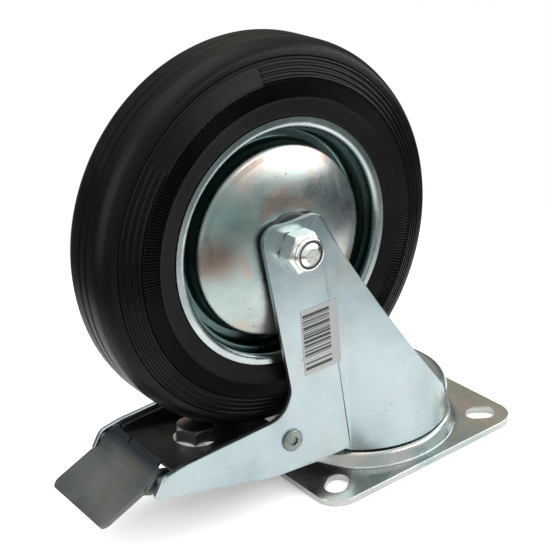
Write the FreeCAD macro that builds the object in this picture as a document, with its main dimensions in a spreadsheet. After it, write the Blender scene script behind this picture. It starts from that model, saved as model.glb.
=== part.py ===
import FreeCAD, Part
import math
import os
import Sketcher

# Braked swivel castor, standing on its mounting plate. The origin is the centre of the plate's
# mounting face, on the swivel axis. +Z runs from the plate to the wheel, the axle lies along Y and
# the brake pedal points towards -X. All sizes are in millimetres.

DIMENSIONS = {
    # mounting plate
    "plate_length": 135.0,
    "plate_width": 112.0,
    "plate_thick": 4.0,
    "plate_corner": 14.0,
    "slot_spacing_x": 105.0,
    "slot_spacing_y": 80.0,
    "slot_width": 12.0,
    "slot_travel": 5.0,
    "ring_foot_radius": 52.5,
    "ring_top_radius": 46.5,
    "ring_top": 12.0,
    "seal_height": 4.5,
    "race_step_radius": 40.5,
    "race_top": 20.5,
    # fork
    "sheet": 3.0,
    "fork_half_width": 32.0,
    "head_radius": 47.5,
    "head_bottom": 13.0,
    "crown_top": 32.0,
    "crown_thick": 3.5,
    "crown_rounding": 6.0,
    "crown_bore": 9.5,
    "leg_top": 154.7,
    "arm_top": 50.0,
    # swivel bearing
    "main_ball_radius": 4.5,
    "main_ball_pitch": 34.0,
    "main_ball_height": 24.5,
    "upper_ball_radius": 3.0,
    "upper_ball_pitch": 16.0,
    "upper_ball_height": 34.2,
    "race_play": 0.3,
    "kingpin_radius": 8.0,
    "kingpin_head_radius": 15.0,
    "kingpin_head_bottom": 9.0,
    "kingpin_end": 49.5,
    "race_cup_radius": 22.0,
    "race_cup_bottom": 36.4,
    "race_cup_top": 40.0,
    "kingpin_nut_flats": 24.0,
    "kingpin_nut_height": 8.0,
    # axle
    "axle_x": -61.6,
    "axle_height": 140.0,
    "axle_radius": 6.0,
    "axle_flats": 19.0,
    "axle_head_height": 7.5,
    "nut_hex_height": 9.0,
    "nut_height": 12.0,
    "nut_collar_radius": 8.6,
    "nut_ring_radius": 7.2,
    "axle_end": 45.5,
    "sleeve_radius": 10.0,
    # wheel
    "tyre_radius": 100.0,
    "tyre_half_width": 25.0,
    "rim_seat_radius": 59.5,
    "rim_flange_radius": 63.2,
    "rim_half_width": 23.3,
    "rim_sheet": 2.0,
    "disc_sheet": 1.6,
    "hub_bore": 15.0,
    "hub_radius": 17.0,
    "hub_half_length": 26.0,
    "hub_cap_end": 28.4,
    "roller_radius": 2.4,
    "roller_pitch": 12.5,
    "roller_length": 40.0,
    "cage_length": 46.0,
    # brake
    "pivot_x": -73.3,
    "pivot_height": 36.0,
    "rivet_head_radius": 6.0,
    "rivet_shank_radius": 4.0,
    "rivet_head_thick": 1.8,
    "lever_half_width": 28.6,
    "lever_sheet": 2.5,
    "brake_bolt_x": -112.5,
    "brake_bolt_height": 38.5,
    "brake_bolt_tilt": 8.9,
    "brake_bolt_flats": 19.0,
    "brake_bolt_head": 7.5,
    "brake_washer_thick": 1.6,
    "brake_bolt_length": 14.0,
    "lock_nut_height": 6.0,
    "pedal_pin_x": -148.5,
    "pedal_pin_height": 42.5,
    "pedal_pin_radius": 3.0,
    "pedal_half_width": 26.3,
    "pedal_sheet": 2.0,
    # label
    "label_x": -62.0,
    "label_bottom": 69.0,
    "label_width": 23.5,
    "label_height": 36.5,
    "label_thick": 0.2,
}

RUNNING_FIT = 0.06
MAIN_BALLS = 20
UPPER_BALLS = 14
ROLLERS = 8
HALF_ANGLE = math.cos(math.pi / 6)
TO_Y = FreeCAD.Rotation(FreeCAD.Vector(1, 0, 0), -90)
TO_MINUS_Y = FreeCAD.Rotation(FreeCAD.Vector(1, 0, 0), 90)
UPRIGHT = FreeCAD.Rotation()


class Size:
    """A length: its value in millimetres and the sheet formula that gives it."""

    def __init__(self, value, text):
        self.value = value
        self.text = text

    @staticmethod
    def of(number):
        if isinstance(number, Size):
            return number
        return Size(float(number), "%.6g" % number)

    def join(self, other, sign, value):
        return Size(value, "(%s %s %s)" % (self.text, sign, Size.of(other).text))

    def __add__(self, other):
        return self.join(other, "+", self.value + Size.of(other).value)

    def __sub__(self, other):
        return self.join(other, "-", self.value - Size.of(other).value)

    def __mul__(self, other):
        return self.join(other, "*", self.value * Size.of(other).value)

    def __truediv__(self, other):
        return self.join(other, "/", self.value / Size.of(other).value)

    def __rsub__(self, other):
        return Size.of(other) - self

    def __neg__(self):
        return Size(-self.value, "(0 - %s)" % self.text)

    def __abs__(self):
        return -self if self.value < 0 else self


def dim(name):
    """The driving dimension of that name."""
    return Size(DIMENSIONS[name], "Dimensions." + name)


class Corner:
    """A corner of an outline. rounding is its radius; arc is the radius of the arc that leads to the
    next corner, positive where the arc turns left."""

    def __init__(self, across, up, rounding=0, arc=0):
        self.across = Size.of(across)
        self.up = Size.of(up)
        self.rounding = Size.of(rounding)
        self.arc = Size.of(arc)

    def point(self):
        return FreeCAD.Vector(self.across.value, self.up.value, 0)


doc = FreeCAD.newDocument("castor")


def fill_sheet():
    """Write the driving dimensions into the document's sheet."""
    sheet = doc.addObject("Spreadsheet::Sheet", "Dimensions")
    for row, (name, value) in enumerate(DIMENSIONS.items(), start=1):
        sheet.set("A%d" % row, name)
        sheet.set("B%d" % row, "%g" % value)
        sheet.setAlias("B%d" % row, name)
    doc.recompute()


def bind(thing, **sizes):
    """Bind properties of a document object to sheet formulas."""
    for name, size in sizes.items():
        thing.setExpression(name, Size.of(size).text)


def place(thing, across=0, along=0, up=0, turn=UPRIGHT):
    """Put an object at a place bound to the sheet, turned by a fixed rotation."""
    spot = [Size.of(value) for value in (across, along, up)]
    thing.Placement = FreeCAD.Placement(FreeCAD.Vector(*[size.value for size in spot]), turn)
    for letter, size in zip("xyz", spot):
        thing.setExpression("Placement.Base." + letter, size.text)
    return thing


def origin_plane(body, role):
    return [item for item in body.Origin.OriginFeatures if item.Role == role][0]


def new_sketch(body, name, role):
    sketch = body.newObject("Sketcher::SketchObject", name)
    sketch.AttachmentSupport = [(origin_plane(body, role), "")]
    sketch.MapMode = "FlatFace"
    return sketch


def bound_constraint(sketch, name, size, *parts):
    index = sketch.addConstraint(Sketcher.Constraint(*parts, size.value))
    sketch.renameConstraint(index, name)
    sketch.setExpression("Constraints." + name, size.text)


def arc_between(start, end, radius):
    """The arc from start to end with that radius, turning left when it is positive."""
    chord = end - start
    half = chord.Length / 2
    sagitta = abs(radius) - math.sqrt(radius * radius - half * half)
    side = FreeCAD.Vector(chord.y, -chord.x, 0).normalize()
    if radius < 0:
        side = -side
    return Part.Arc(start, start + chord * 0.5 + side * sagitta, end)


def rounded_ends(before, corner, after):
    """Where a rounded corner's arc begins and ends, and its middle."""
    point = corner.point()
    back = (before.point() - point).normalize()
    ahead = (after.point() - point).normalize()
    half = back.getAngle(ahead) / 2
    radius = corner.rounding.value
    reach = radius / math.tan(half)
    middle = (back + ahead).normalize()
    centre = point + middle * (radius / math.sin(half))
    return point + back * reach, centre - middle * radius, point + ahead * reach


def first_end(sketch, side, start):
    """Which end of a sketch edge, 1 or 2, lies at the point start."""
    return 1 if sketch.getPoint(side, 1).distanceToPoint(start) < 1e-4 else 2


def draw_outline(sketch, corners):
    """Draw a closed outline whose corners and radii are bound to the sheet."""
    count = len(corners)
    stem = "side%d_" % sketch.GeometryCount
    ends = []
    for index, corner in enumerate(corners):
        if corner.rounding.value:
            ends.append(rounded_ends(corners[index - 1], corner, corners[(index + 1) % count]))
        else:
            ends.append((corner.point(), None, corner.point()))
    sides = []
    for index, corner in enumerate(corners):
        start = ends[index][2]
        finish = ends[(index + 1) % count][0]
        if corner.arc.value:
            side = sketch.addGeometry(arc_between(start, finish, corner.arc.value), False)
            bound_constraint(sketch, "%sarc%d" % (stem, index), abs(corner.arc), "Radius", side)
        else:
            side = sketch.addGeometry(Part.LineSegment(start, finish), False)
        sides.append((side, first_end(sketch, side, start)))
    for index, corner in enumerate(corners):
        before, before_start = sides[index - 1]
        after, after_start = sides[index]
        before_end = 3 - before_start
        if corner.rounding.value:
            bend = sketch.addGeometry(Part.Arc(*ends[index]), False)
            bend_start = first_end(sketch, bend, ends[index][0])
            tip = sketch.addGeometry(Part.Point(corner.point()), True)
            sketch.addConstraint(Sketcher.Constraint("Tangent", before, before_end, bend, bend_start))
            sketch.addConstraint(Sketcher.Constraint("Tangent", bend, 3 - bend_start, after, after_start))
            sketch.addConstraint(Sketcher.Constraint("PointOnObject", tip, 1, before))
            sketch.addConstraint(Sketcher.Constraint("PointOnObject", tip, 1, after))
            bound_constraint(sketch, "%sround%d" % (stem, index), corner.rounding, "Radius", bend)
            spot = (tip, 1)
        else:
            sketch.addConstraint(Sketcher.Constraint("Coincident", before, before_end, after, after_start))
            spot = (after, after_start)
        bound_constraint(sketch, "%sx%d" % (stem, index), corner.across, "DistanceX", -1, 1, *spot)
        bound_constraint(sketch, "%sy%d" % (stem, index), corner.up, "DistanceY", -1, 1, *spot)


def mirrored(half):
    """A closed outline from the half with up > 0, given from the inside outwards."""
    other = [Corner(item.across, -item.up, item.rounding) for item in reversed(half)]
    return half + other


def new_body(label):
    body = doc.addObject("PartDesign::Body", label)
    body.Label = label
    return body


def turn_outline(body, name, corners, kind="PartDesign::Revolution"):
    """Turn an outline of radius and height about the body's own Z axis."""
    sketch = new_sketch(body, name + "_outline", "XZ_Plane")
    draw_outline(sketch, corners)
    turned = body.newObject(kind, name)
    turned.Profile = sketch
    turned.ReferenceAxis = (sketch, ["V_Axis"])
    turned.Angle = 360
    return turned


def turned_body(label, corners):
    body = new_body(label)
    turn_outline(body, label + "_turn", corners)
    return body


def extrude(body, name, role, outlines, depth, kind="PartDesign::Pad", symmetric=True, start=0):
    """Pad or pocket outlines from an origin plane, to a depth bound to the sheet."""
    sketch = new_sketch(body, name + "_outline", role)
    sketch.AttachmentOffset = FreeCAD.Placement(FreeCAD.Vector(0, 0, Size.of(start).value), UPRIGHT)
    sketch.setExpression("AttachmentOffset.Base.z", Size.of(start).text)
    for corners in outlines:
        draw_outline(sketch, corners)
    feature = body.newObject(kind, name)
    feature.Profile = sketch
    feature.Length = Size.of(depth).value
    feature.setExpression("Length", Size.of(depth).text)
    feature.SideType = "Symmetric" if symmetric else "One side"
    return feature


def ring(inner, outer, bottom, top):
    """The outline of a plain ring or, with inner 0, of a disc."""
    return [Corner(inner, bottom), Corner(outer, bottom), Corner(outer, top), Corner(inner, top)]


def cylinder(name, radius, height):
    shape = doc.addObject("Part::Cylinder", name)
    bind(shape, Radius=radius, Height=height)
    return shape


def combine(kind, label, pieces):
    """A fuse, common or compound of several objects."""
    result = doc.addObject(kind, label)
    if kind == "Part::Compound":
        result.Links = pieces
    else:
        result.Shapes = pieces
    result.Label = label
    return result


def cut(label, base, tool):
    result = doc.addObject("Part::Cut", label)
    result.Base = base
    result.Tool = tool
    result.Label = label
    return result


def hexed(label, corners, flats, length):
    """A turned fastener whose outside is limited by a hexagon."""
    turned = turned_body(label + "_turned", corners)
    prism = doc.addObject("Part::Prism", label + "_hexagon")
    prism.Polygon = 6
    bind(prism, Circumradius=flats / (2 * HALF_ANGLE), Height=length)
    return combine("Part::MultiCommon", label, [turned, prism])


def torus_groove(name, pitch, radius, height):
    groove = doc.addObject("Part::Torus", name)
    bind(groove, Radius1=pitch, Radius2=radius)
    return place(groove, 0, 0, height)


def ball_ring(label, count, radius, pitch, height):
    balls = []
    for index in range(count):
        angle = 2 * math.pi * index / count
        ball = doc.addObject("Part::Sphere", "%s_%d" % (label, index + 1))
        bind(ball, Radius=radius)
        balls.append(place(ball, pitch * math.cos(angle), pitch * math.sin(angle), height))
    return combine("Part::Compound", label, balls)


def make_mounting_plate():
    body = new_body("plate_pressing")
    half_length = dim("plate_length") / 2
    half_width = dim("plate_width") / 2
    thick = dim("plate_thick")
    top = dim("race_top")
    step = dim("race_step_radius")
    round_corner = dim("plate_corner")
    outline = [
        Corner(-half_length, -half_width, round_corner),
        Corner(half_length, -half_width, round_corner),
        Corner(half_length, half_width, round_corner),
        Corner(-half_length, half_width, round_corner),
    ]
    sheet = extrude(body, "sheet", "XY_Plane", [outline], thick, symmetric=False)
    doc.recompute()
    rims = ["Edge%d" % (index + 1) for index, edge in enumerate(sheet.Shape.Edges)
            if edge.BoundBox.ZLength < 0.01]
    rounding = body.newObject("PartDesign::Fillet", "rounded_edges")
    rounding.Base = (sheet, rims)
    rounding.Radius = 0.7
    turn_outline(body, "swivel_ring", [
        Corner(0, 1),
        Corner(dim("ring_foot_radius") - 1, 1),
        Corner(dim("ring_foot_radius") + 1.5, thick),
        Corner(dim("ring_foot_radius") - 1.2, thick + 0.6),
        Corner(dim("ring_top_radius") + 1.6, dim("ring_top"), 3.5),
        Corner(step, dim("ring_top")),
        Corner(step - 1, top, 2.5),
        Corner(0, top),
    ])
    turn_outline(body, "underside_recess", [
        Corner(0, -1),
        Corner(dim("ring_foot_radius") - 4, -1),
        Corner(dim("ring_foot_radius") - 4, 0),
        Corner(dim("ring_top_radius") - 1.5, dim("ring_top") - thick, 3),
        Corner(step - thick, dim("ring_top") - thick),
        Corner(step - thick - 1, top - thick, 2),
        Corner(0, top - thick),
    ], "PartDesign::Groove")
    turn_outline(body, "kingpin_hole", ring(0, dim("kingpin_radius"), 0, top + 1), "PartDesign::Groove")
    tools = [torus_groove("plate_race", dim("main_ball_pitch"),
                          dim("main_ball_radius") + dim("race_play"), dim("main_ball_height"))]
    diagonal = math.degrees(math.atan2(DIMENSIONS["slot_spacing_y"], DIMENSIONS["slot_spacing_x"]))
    for index, (side_x, side_y) in enumerate(((1, 1), (-1, 1), (-1, -1), (1, -1))):
        turn = FreeCAD.Rotation(FreeCAD.Vector(0, 0, 1), diagonal * side_x * side_y)
        reach = turn.multVec(FreeCAD.Vector(1, 0, 0))
        centre_x = dim("slot_spacing_x") * side_x / 2
        centre_y = dim("slot_spacing_y") * side_y / 2
        width = dim("slot_width")
        travel = dim("slot_travel")
        middle = doc.addObject("Part::Box", "slot_middle_%d" % index)
        bind(middle, Length=travel, Width=width, Height=thick + 2)
        corner_x = centre_x - travel * reach.x / 2 + width * reach.y / 2
        corner_y = centre_y - travel * reach.y / 2 - width * reach.x / 2
        tools.append(place(middle, corner_x, corner_y, -1, turn))
        for end in (-1, 1):
            tip = cylinder("slot_end_%d" % index, width / 2, thick + 2)
            tools.append(place(tip, centre_x + travel * reach.x * end / 2,
                               centre_y + travel * reach.y * end / 2, -1))
    return cut("mounting_plate", body, combine("Part::MultiFuse", "plate_cuts", tools))


def make_swivel_bearing():
    """The kingpin, its nut and cup, both rings of balls and the dust seal."""
    pin = dim("kingpin_radius")
    top = dim("race_top")
    cup_top = dim("race_cup_top")
    cup = dim("race_cup_radius")
    head = dim("kingpin_head_bottom")
    seat = top - dim("plate_thick")
    turned_body("kingpin", [
        Corner(0, head),
        Corner(dim("kingpin_head_radius"), head, 2),
        Corner(dim("kingpin_head_radius"), seat),
        Corner(pin, seat),
        Corner(pin, dim("kingpin_end"), 1),
        Corner(0, dim("kingpin_end")),
    ])
    cup_body = turned_body("race_cup_turned", [
        Corner(pin, dim("race_cup_bottom") - 1.5),
        Corner(pin + 3.5, dim("race_cup_bottom") - 1.5),
        Corner(pin + 3.5, dim("race_cup_bottom")),
        Corner(cup - 1.8, dim("race_cup_bottom")),
        Corner(cup - 1.8, dim("race_cup_bottom") - 2.8),
        Corner(cup, dim("race_cup_bottom") - 2.8),
        Corner(cup, cup_top, 2),
        Corner(pin, cup_top),
    ])
    groove = torus_groove("cup_race", dim("upper_ball_pitch"),
                          dim("upper_ball_radius") + dim("race_play"), dim("upper_ball_height"))
    cut("race_cup", cup_body, groove)
    nut_height = dim("kingpin_nut_height")
    corner_radius = dim("kingpin_nut_flats") / 2
    nut = hexed("kingpin_nut", [
        Corner(pin, 0),
        Corner(corner_radius, 0),
        Corner(corner_radius * 1.16, 1.2),
        Corner(corner_radius * 1.16, nut_height - 1.2),
        Corner(corner_radius, nut_height),
        Corner(pin, nut_height),
    ], dim("kingpin_nut_flats"), nut_height)
    place(nut, 0, 0, cup_top)
    seal_inside = dim("race_step_radius") + 0.3
    seal_outside = dim("head_radius") - dim("sheet") - 0.5
    turned_body("dust_seal", [
        Corner(seal_inside, dim("ring_top")),
        Corner(seal_outside, dim("ring_top")),
        Corner(seal_outside, dim("ring_top") + dim("seal_height"), 0.6),
        Corner(seal_inside, dim("ring_top") + dim("seal_height")),
    ])
    ball_ring("main_balls", MAIN_BALLS, dim("main_ball_radius"), dim("main_ball_pitch"),
              dim("main_ball_height"))
    ball_ring("upper_balls", UPPER_BALLS, dim("upper_ball_radius"), dim("upper_ball_pitch"),
              dim("upper_ball_height"))


def fork_side():
    """The fork's side outline: round head, leg to the axle and arm to the pedal."""
    low = dim("head_bottom")
    top = dim("leg_top")
    arm = dim("arm_top")
    head = dim("head_radius") + 1
    head_edge = dim("crown_top") - dim("crown_rounding")
    return [
        Corner(head, low),
        Corner(head, head_edge),
        Corner(28.5, head_edge),
        Corner(26.5, dim("crown_top") - 1, 0, -350),
        Corner(-35.5, top - 21),
        Corner(-45.5, top, 9),
        Corner(-81.5, top, 8),
        Corner(-71.2, 66, 30),
        Corner(-71.2, arm + 1, 14),
        Corner(-138, arm - 1.2, 20),
        Corner(-150, arm - 3.2, 7),
        Corner(-156.6, 37.3, 1.5),
        Corner(-85, low + 5.6, 30),
        Corner(-60, low + 3.2),
        Corner(-39, low + 2.4, 4),
        Corner(-35.4, low),
    ]


def make_fork():
    body = new_body("fork_pressing")
    sheet = dim("sheet")
    outer = dim("head_radius")
    half = dim("fork_half_width")
    low = dim("head_bottom")
    crown = dim("crown_top")
    inner = outer - sheet
    inner_half = half - sheet
    back = -170
    outer_join = -math.sqrt(outer.value ** 2 - half.value ** 2)
    inner_join = -math.sqrt(inner.value ** 2 - inner_half.value ** 2)
    plan = [
        Corner(back, -half),
        Corner(outer_join, -half, 0, outer),
        Corner(outer, 0, 0, outer),
        Corner(outer_join, half),
        Corner(back, half),
        Corner(back, inner_half),
        Corner(inner_join, inner_half, 0, -inner),
        Corner(inner, 0, 0, -inner),
        Corner(inner_join, -inner_half),
        Corner(back, -inner_half),
    ]
    extrude(body, "wrapped_sheet", "XY_Plane", [plan], dim("leg_top") + 1 - low, symmetric=False, start=low)
    frame = [Corner(-200, 0), Corner(100, 0), Corner(100, 200), Corner(-200, 200)]
    extrude(body, "side_trim", "XZ_Plane", [frame, fork_side()], 200, "PartDesign::Pocket")
    turn_outline(body, "head", [
        Corner(dim("crown_bore"), crown - dim("crown_thick")),
        Corner(outer - sheet, crown - dim("crown_thick"), 3),
        Corner(outer - sheet, low),
        Corner(outer, low),
        Corner(outer, crown, dim("crown_rounding")),
        Corner(dim("crown_bore"), crown),
    ])
    extrude(body, "rear_trim", "XZ_Plane", [[
        Corner(-35.4, low - 3),
        Corner(-35.4, low),
        Corner(-39, low + 2.4),
        Corner(-60, low + 3.2),
        Corner(-60, low - 3),
    ]], 100, "PartDesign::Pocket")
    return body


def make_fork_cuts():
    """Holes and ball races that are cut from the fork."""
    width = dim("fork_half_width") * 2 + 4
    tools = [
        torus_groove("fork_main_race", dim("main_ball_pitch"),
                     dim("main_ball_radius") + dim("race_play"), dim("main_ball_height")),
        torus_groove("fork_upper_race", dim("upper_ball_pitch"),
                     dim("upper_ball_radius") + dim("race_play"), dim("upper_ball_height")),
        place(cylinder("axle_hole", dim("axle_radius"), width),
              dim("axle_x"), -width / 2, dim("axle_height"), TO_Y),
        place(cylinder("rivet_hole", dim("rivet_shank_radius"), width),
              dim("pivot_x"), -width / 2, dim("pivot_height"), TO_Y),
        place(cylinder("pedal_pin_hole", dim("pedal_pin_radius"), width - 8),
              dim("pedal_pin_x"), 4 - width / 2, dim("pedal_pin_height"), TO_Y),
    ]
    return combine("Part::MultiFuse", "fork_cuts", tools)


def make_axle():
    """The axle bolt, its nut with a nylon ring, and the sleeve between the legs."""
    radius = dim("axle_radius")
    side = dim("fork_half_width")
    corner_radius = dim("axle_flats") / 2
    head = dim("axle_head_height")
    length = head + side + dim("axle_end")
    bolt = hexed("axle_bolt", [
        Corner(0, 0),
        Corner(corner_radius - 0.5, 0),
        Corner(corner_radius * 1.16, 1.3),
        Corner(corner_radius * 1.16, head),
        Corner(radius, head),
        Corner(radius, length - 1.6),
        Corner(radius - 2, length),
        Corner(0, length),
    ], dim("axle_flats"), length)
    place(bolt, dim("axle_x"), side + head, dim("axle_height"), TO_MINUS_Y)
    height = dim("nut_height")
    hexagon = dim("nut_hex_height")
    collar = dim("nut_collar_radius")
    pocket = dim("nut_ring_radius")
    nut = hexed("axle_nut", [
        Corner(radius, 0),
        Corner(corner_radius, 0),
        Corner(corner_radius * 1.16, 1.3),
        Corner(corner_radius * 1.16, hexagon - 1.2),
        Corner(corner_radius - 0.2, hexagon),
        Corner(collar, hexagon + 0.4),
        Corner(collar, height, 1.2),
        Corner(pocket, height),
        Corner(pocket, height - 2.5),
        Corner(radius, height - 2.5),
    ], dim("axle_flats"), height)
    place(nut, dim("axle_x"), -side, dim("axle_height"), TO_MINUS_Y)
    insert = turned_body("nut_insert", ring(radius, pocket, height - 2.5, height - 0.4))
    place(insert, dim("axle_x"), -side, dim("axle_height"), TO_MINUS_Y)
    sleeve_half = side - dim("sheet")
    sleeve = turned_body("axle_sleeve", ring(radius, dim("sleeve_radius"), -sleeve_half, sleeve_half))
    place(sleeve, dim("axle_x"), 0, dim("axle_height"), TO_Y)


def on_axle(thing):
    return place(thing, dim("axle_x"), 0, dim("axle_height"), TO_Y)


def make_wheel():
    radius = dim("tyre_radius")
    half = dim("tyre_half_width")
    seat = dim("rim_seat_radius")
    flange = dim("rim_flange_radius")
    rim_half = dim("rim_half_width")
    steel = dim("rim_sheet")
    on_axle(turned_body("tyre", mirrored([
        Corner(seat, rim_half - steel, steel),
        Corner(flange, rim_half - steel),
        Corner(flange, rim_half - 0.1),
        Corner(72.4, half, 2),
        Corner(81.5, half - 1.2),
        Corner(90.8, half - 5.3),
        Corner(95, half - 6.6, 3),
        Corner(radius, 13.5, 8),
    ])))
    bend = steel * 1.6
    on_axle(turned_body("rim_band", mirrored([
        Corner(seat - steel, rim_half, bend),
        Corner(flange, rim_half),
        Corner(flange, rim_half - steel),
        Corner(seat, rim_half - steel, bend / 2),
    ])[:4] + [
        Corner(seat, steel - rim_half, bend / 2),
        Corner(flange, steel - rim_half),
        Corner(flange, -rim_half),
        Corner(seat - steel, -rim_half, bend),
    ]))
    collar = seat - steel
    disc = dim("disc_sheet")
    bore = dim("hub_radius")
    for label, turn in (("wheel_disc_left", TO_MINUS_Y), ("wheel_disc_right", TO_Y)):
        face = turned_body(label, [
            Corner(bore, 25.3),
            Corner(bore, 27.0, 0, -60),
            Corner(44.5, 21.4),
            Corner(49.5, 19.4, 3.5),
            Corner(49.5, 8.2, 2),
            Corner(collar - disc, 8.2, 2),
            Corner(collar - disc, 17),
            Corner(collar, 17),
            Corner(collar, 6.6, 3.6),
            Corner(49.5 - 1.6, 6.6, 3.6),
            Corner(49.5 - 1.6, 18.3, 2),
            Corner(44.1, 19.8, 0, 60),
        ])
        place(face, dim("axle_x"), 0, dim("axle_height"), turn)
    hub_half = dim("hub_half_length")
    on_axle(turned_body("hub_tube", ring(dim("hub_bore"), bore, -hub_half, hub_half)))
    caps = []
    for name, turn in (("hub_cap_left", TO_MINUS_Y), ("hub_cap_right", TO_Y)):
        cap = turned_body(name, [
            Corner(dim("sleeve_radius") + 0.3, hub_half),
            Corner(bore, hub_half),
            Corner(bore, dim("hub_cap_end"), 1),
            Corner(dim("sleeve_radius") + 0.3, dim("hub_cap_end")),
        ])
        caps.append(place(cap, dim("axle_x"), 0, dim("axle_height"), turn))
    combine("Part::Compound", "hub_caps", caps)


def make_roller_bearing():
    radius = dim("roller_radius")
    pitch = dim("roller_pitch")
    length = dim("roller_length")
    rollers = []
    pockets = []
    for index in range(ROLLERS):
        angle = 2 * math.pi * (index + 0.5) / ROLLERS
        across = dim("axle_x") + pitch * math.cos(angle)
        up = dim("axle_height") + pitch * math.sin(angle)
        roller = cylinder("roller_%d" % index, radius, length)
        rollers.append(place(roller, across, -length / 2, up, TO_Y))
        pocket = cylinder("pocket_%d" % index, radius + 0.15, length + 0.6)
        pockets.append(place(pocket, across, -(length + 0.6) / 2, up, TO_Y))
    combine("Part::Compound", "bearing_rollers", rollers)
    half = dim("cage_length") / 2
    tube = on_axle(turned_body("cage_tube", ring(pitch - 1.4, pitch + 1.4, -half, half)))
    cut("roller_cage", tube, combine("Part::MultiFuse", "cage_pockets", pockets))


def make_brake_lever():
    body = new_body("lever_channel")
    half = dim("lever_half_width")
    sheet = dim("lever_sheet")
    extrude(body, "channel", "XZ_Plane", [[
        Corner(-65, 28, 5),
        Corner(-65, 44, 7),
        Corner(-84, 48.6, 8),
        Corner(-139.5, 46.5, 3),
        Corner(-139.5, 40.17, 1.5),
        Corner(-86, 31.8),
        Corner(-77, 28),
    ]], half * 2)
    extrude(body, "channel_inside", "XZ_Plane", [[
        Corner(-60, 30.5),
        Corner(-78, 30.5),
        Corner(-84, 33.9),
        Corner(-145, 43.58),
        Corner(-145, 60),
        Corner(-60, 60),
    ]], (half - sheet) * 2, "PartDesign::Pocket")
    hole = cylinder("lever_pivot_hole", dim("rivet_shank_radius") + RUNNING_FIT, half * 2 + 2)
    place(hole, dim("pivot_x"), -half - 1, dim("pivot_height"), TO_Y)
    bolt_hole = tilted(cylinder("lever_bolt_hole", dim("axle_radius") - 1, 20), -10)
    return cut("brake_lever", body, combine("Part::MultiFuse", "lever_cuts", [hole, bolt_hole]))


def tilted(thing, offset):
    """Put a piece on the brake bolt's axis, a distance above the lever's web."""
    angle = math.radians(DIMENSIONS["brake_bolt_tilt"])
    turn = FreeCAD.Rotation(FreeCAD.Vector(0, 1, 0), DIMENSIONS["brake_bolt_tilt"])
    offset = Size.of(offset)
    return place(thing, dim("brake_bolt_x") + offset * math.sin(angle), 0,
                 dim("brake_bolt_height") + offset * math.cos(angle), turn)


def make_brake_bolt():
    shank = dim("axle_radius") - 1
    corner_radius = dim("brake_bolt_flats") / 2
    length = dim("brake_bolt_length")
    head = dim("brake_bolt_head")
    bolt = hexed("brake_bolt", [
        Corner(0, 0),
        Corner(shank, 0),
        Corner(shank, length),
        Corner(corner_radius * 1.16, length),
        Corner(corner_radius * 1.16, length + head - 1.5),
        Corner(corner_radius - 0.3, length + head),
        Corner(0, length + head),
    ], dim("brake_bolt_flats"), length + head)
    tilted(bolt, dim("brake_washer_thick") - length)
    washer = turned_body("brake_washer", ring(shank, corner_radius + 1.5, 0, dim("brake_washer_thick")))
    tilted(washer, 0)
    height = dim("lock_nut_height")
    nut = hexed("brake_lock_nut", [
        Corner(shank, 0),
        Corner(corner_radius, 0),
        Corner(corner_radius * 1.16, 1.1),
        Corner(corner_radius * 1.16, height - 1.1),
        Corner(corner_radius, height),
        Corner(shank, height),
    ], dim("brake_bolt_flats"), height)
    tilted(nut, -(height + dim("lever_sheet") + RUNNING_FIT))


def make_rivets():
    """Two rivets that join the brake lever's cheeks to the fork's arms."""
    side = dim("fork_half_width")
    head = dim("rivet_head_radius")
    shank = dim("rivet_shank_radius")
    inner = dim("lever_half_width") - dim("lever_sheet") - 0.2
    rivets = []
    for name, turn in (("rivet_left", TO_MINUS_Y), ("rivet_right", TO_Y)):
        blank = turned_body(name + "_blank", [
            Corner(0, inner - 0.9),
            Corner(head - 0.8, inner - 0.9),
            Corner(head - 0.8, inner),
            Corner(shank, inner),
            Corner(shank, side),
            Corner(head, side),
            Corner(head, side + dim("rivet_head_thick"), 1),
            Corner(0, side + dim("rivet_head_thick")),
        ])
        sockets = []
        for index in range(3):
            prism = doc.addObject("Part::Prism", "%s_socket_%d" % (name, index))
            prism.Polygon = 3
            bind(prism, Circumradius=head * 0.5, Height=2)
            spin = FreeCAD.Rotation(FreeCAD.Vector(0, 0, 1), 40 * index)
            sockets.append(place(prism, 0, 0, side + 0.8, spin))
        rivet = cut(name, blank, combine("Part::MultiFuse", name + "_socket", sockets))
        rivets.append(place(rivet, dim("pivot_x"), 0, dim("pivot_height"), turn))
    combine("Part::Compound", "brake_rivets", rivets)


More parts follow.
